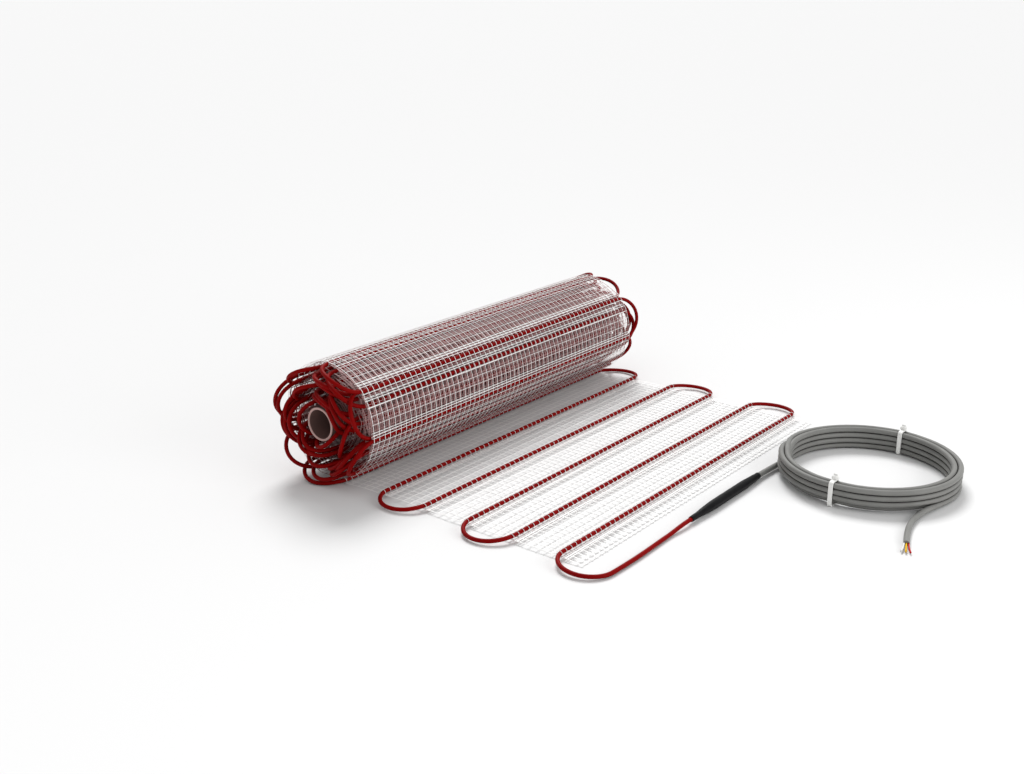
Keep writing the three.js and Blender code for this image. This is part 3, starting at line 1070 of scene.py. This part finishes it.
class HEATMAT_OT_net(Operator):
    """Weave the glass-fibre net, laid flat and wound on its tube"""

    bl_idname = "heatmat.net"
    bl_label = "Glass-fibre net"

    def execute(self, context):
        settings = context.scene.heatmat_net
        half_width = settings.thread_width / 2
        half_thickness = settings.thread_thickness / 2
        yarn = glass_fibre_material("glass_fibre_yarn", settings.colour)
        chance = np.random.RandomState(3)
        builder = Builder()
        lengthwise_threads(builder, settings)
        x = np.linspace(-HALF_NET, HALF_NET, 7)
        for s, width in crosswise_places(settings.crosswise_count):
            wander = s + chance.uniform(-0.0003, 0.0003) + 0.00025 * np.sin(x * 30 + chance.uniform(0, 6.3))
            rise = 0.0002
            y, z = on_mat(wander, net_height(wander) + rise)
            ahead_y, ahead_z = on_mat(wander + 0.001, net_height(wander) + rise)
            across = np.stack([np.zeros_like(x), ahead_y - y, ahead_z - z], axis=1)
            across /= np.linalg.norm(across, axis=1)[:, None]
            up = np.stack([np.zeros_like(x), -across[:, 2], across[:, 1]], axis=1)
            points = np.stack([x, y, z], axis=1)
            drawn = half_width * width * float(drawn_width(s, CROSSWISE_SHARES))
            # Past one turn, or three turns for the strong threads beside legs, a crosswise thread takes the
            # painted-shade material
            lit_to = 6 * math.pi if width > 1 else 2 * math.pi
            second_from = 0 if s > length_at(lit_to) else None
            builder.add_grid(tape_grid(points, -across, up, drawn, half_thickness), second_from)
        data = builder.mesh("glass_fibre_net", smooth=False)
        net = place("glass_fibre_net", data, yarn, "glass_fibre", "glass_fibre_mesh")
        # The second material: the yarn with painted shade and painted red bounce light, darkened further by
        # painted shade from ambient occlusion
        shaded = glass_fibre_material("shaded_yarn", settings.painted_shade_colour)
        shade_crevices(shaded, 0.6, distance=0.012)
        data.materials.append(shaded)
        return {"FINISHED"}


class HEATMAT_OT_stitches(Operator):
    """Stitch the heating cable down to the net"""

    bl_idname = "heatmat.stitches"
    bl_label = "Stitches"

    def execute(self, context):
        settings = context.scene.heatmat_net
        count = int(round((2 * HALF_NET - 0.002) / settings.lengthwise_spacing))
        chance = np.random.RandomState(5)
        builder = Builder()
        t = np.linspace(-1, 1, 11)
        top = CABLE_HEIGHT + CABLE_RADIUS + 0.0003
        foot = NET_THICKNESS / 2
        arch = foot + (top - foot) * (1 - np.abs(t) ** 2.6) ** (1 / 2.2)
        for leg in LEGS[LEGS < length_at(2 * math.pi)]:
            for x in np.linspace(-HALF_NET + 0.001, HALF_NET - 0.001, count + 1):
                lean = chance.uniform(-0.0004, 0.0004)
                spots = leg + PAIR_OFFSET * t
                y, z = on_mat(spots, arch + laid_lift(spots))
                points = np.stack([x + lean * t, y, z], axis=1)
                up_y, up_z = tilt_of(y, z)
                up = np.stack([np.zeros_like(t), up_y, up_z], axis=1)
                across = np.broadcast_to([1.0, 0.0, 0.0], points.shape)
                builder.add_grid(tape_grid(points, across, up, STITCH_HALF_WIDTH, STITCH_HALF_THICKNESS))
        place("cable_stitches", builder.mesh("cable_stitches", smooth=False),
              glass_fibre_material("stitch_yarn", settings.colour), "glass_fibre")
        return {"FINISHED"}


class HEATMAT_OT_tube(Operator):
    """Put the card tube in the middle of the roll"""

    bl_idname = "heatmat.tube"
    bl_label = "Card tube"

    def execute(self, context):
        settings = context.scene.heatmat_tube
        bore = TUBE_RADIUS - TUBE_WALL
        half = TUBE_HIGH.x
        e = 0.0003
        profile = [(-half + e, bore), (-half, bore + e), (-half, TUBE_RADIUS - e), (-half + e, TUBE_RADIUS),
                   (half - e, TUBE_RADIUS), (half, TUBE_RADIUS - e), (half, bore + e), (half - e, bore)]
        centre = (0, (TUBE_LOW.y + TUBE_HIGH.y) / 2, ROLL_RADIUS)
        grid = turned_grid(profile, 72, centre)
        rings, sides = grid.shape[:2]
        faces = []
        for ring in range(rings):
            above = (ring + 1) % rings
            for i in range(sides):
                j = (i + 1) % sides
                faces.append((ring * sides + i, ring * sides + j, above * sides + j, above * sides + i))
        builder = Builder()
        builder.add(grid.reshape(-1, 3), faces)
        data = builder.mesh("card_tube")
        data.polygons.foreach_set("use_smooth", [abs(p.normal.x) < 0.3 for p in data.polygons])
        card = card_material(settings.card_colour, settings.rim_colour)
        place("card_tube", data, card, "cardboard", "core_tube")
        return {"FINISHED"}


# The wide key light shines from behind and to the right, and the low fill light stands in front
KEY_DIRECTION = (-0.5, -0.45, -0.75)
FILL_PLACE = (0.1, -1.5, 0.55)
FILL_AIM = (0, 0.05, 0.03)
FLOOR_SIZE = 120


class HEATMAT_OT_stage(Operator):
    """Light the mat on a pale studio floor"""

    bl_idname = "heatmat.stage"
    bl_label = "Studio"

    def execute(self, context):
        settings = context.scene.heatmat_stage
        scene = context.scene
        world = bpy.data.worlds.new("studio")
        world.use_nodes = True
        background = world.node_tree.nodes["Background"]
        background.inputs["Color"].default_value = (1, 1, 1, 1)
        background.inputs["Strength"].default_value = settings.surround
        scene.world = world
        floor = bpy.data.meshes.new("studio_floor")
        half = FLOOR_SIZE / 2
        corners = [(-half, -half, 0), (half, -half, 0), (half, half, 0), (-half, half, 0)]
        floor.from_pydata(corners, [], [(0, 1, 2, 3)])
        material = bpy.data.materials.new("studio_floor")
        material.use_nodes = True
        shader = material.node_tree.nodes["Principled BSDF"]
        shader.inputs["Base Color"].default_value = tuple(settings.floor_colour)
        shader.inputs["Roughness"].default_value = 0.9
        shader.inputs["Specular IOR Level"].default_value = 0.1
        floor.materials.append(material)
        ground = bpy.data.objects.new("studio_floor", floor)
        ground.location.z = -0.0002
        scene.collection.objects.link(ground)
        key = bpy.data.lights.new("key_light", "SUN")
        key.energy = settings.key_strength
        key.angle = math.radians(26)
        lamp = bpy.data.objects.new("key_light", key)
        lamp.rotation_euler = Vector(KEY_DIRECTION).to_track_quat("-Z", "Y").to_euler()
        scene.collection.objects.link(lamp)
        fill = bpy.data.lights.new("fill_light", "AREA")
        fill.size = 0.9
        fill.energy = settings.fill_power
        lamp = bpy.data.objects.new("fill_light", fill)
        lamp.location = FILL_PLACE
        aim = Vector(FILL_AIM) - Vector(FILL_PLACE)
        lamp.rotation_euler = aim.to_track_quat("-Z", "Y").to_euler()
        scene.collection.objects.link(lamp)
        scene.view_settings.view_transform = "Standard"
        return {"FINISHED"}


OPERATORS = (
    HEATMAT_OT_camera,
    HEATMAT_OT_cold_lead,
    HEATMAT_OT_heating_cable,
    HEATMAT_OT_sleeve,
    HEATMAT_OT_net,
    HEATMAT_OT_stitches,
    HEATMAT_OT_tube,
    HEATMAT_OT_stage,
)
GROUPS = {
    "heatmat_net": HEATMAT_PG_net,
    "heatmat_cable": HEATMAT_PG_cable,
    "heatmat_lead": HEATMAT_PG_lead,
    "heatmat_tube": HEATMAT_PG_tube,
    "heatmat_stage": HEATMAT_PG_stage,
}


class HEATMAT_PT_panel(Panel):
    """Lists the pieces of the heating mat and their settings"""

    bl_label = "Heating Mat"
    bl_idname = "HEATMAT_PT_panel"
    bl_space_type = "VIEW_3D"
    bl_region_type = "UI"
    bl_category = "Heating Mat"

    def draw(self, context):
        for name, group in GROUPS.items():
            box = self.layout.box()
            for prop in group.__annotations__:
                box.prop(getattr(context.scene, name), prop)
        for operator in OPERATORS:
            self.layout.operator(operator.bl_idname)


def register():
    for group in GROUPS.values():
        bpy.utils.register_class(group)
    for name, group in GROUPS.items():
        setattr(bpy.types.Scene, name, PointerProperty(type=group))
    for operator in OPERATORS:
        bpy.utils.register_class(operator)
    bpy.utils.register_class(HEATMAT_PT_panel)


def unregister():
    bpy.utils.unregister_class(HEATMAT_PT_panel)
    for operator in reversed(OPERATORS):
        bpy.utils.unregister_class(operator)
    for name in GROUPS:
        delattr(bpy.types.Scene, name)
    for group in reversed(list(GROUPS.values())):
        bpy.utils.unregister_class(group)


def main():
    register()
    bpy.ops.heatmat.camera()
    bpy.ops.heatmat.cold_lead()
    bpy.ops.heatmat.heating_cable()
    bpy.ops.heatmat.sleeve()
    bpy.ops.heatmat.net()
    bpy.ops.heatmat.stitches()
    bpy.ops.heatmat.tube()
    bpy.ops.heatmat.stage()


if __name__ == "__main__":
    main()
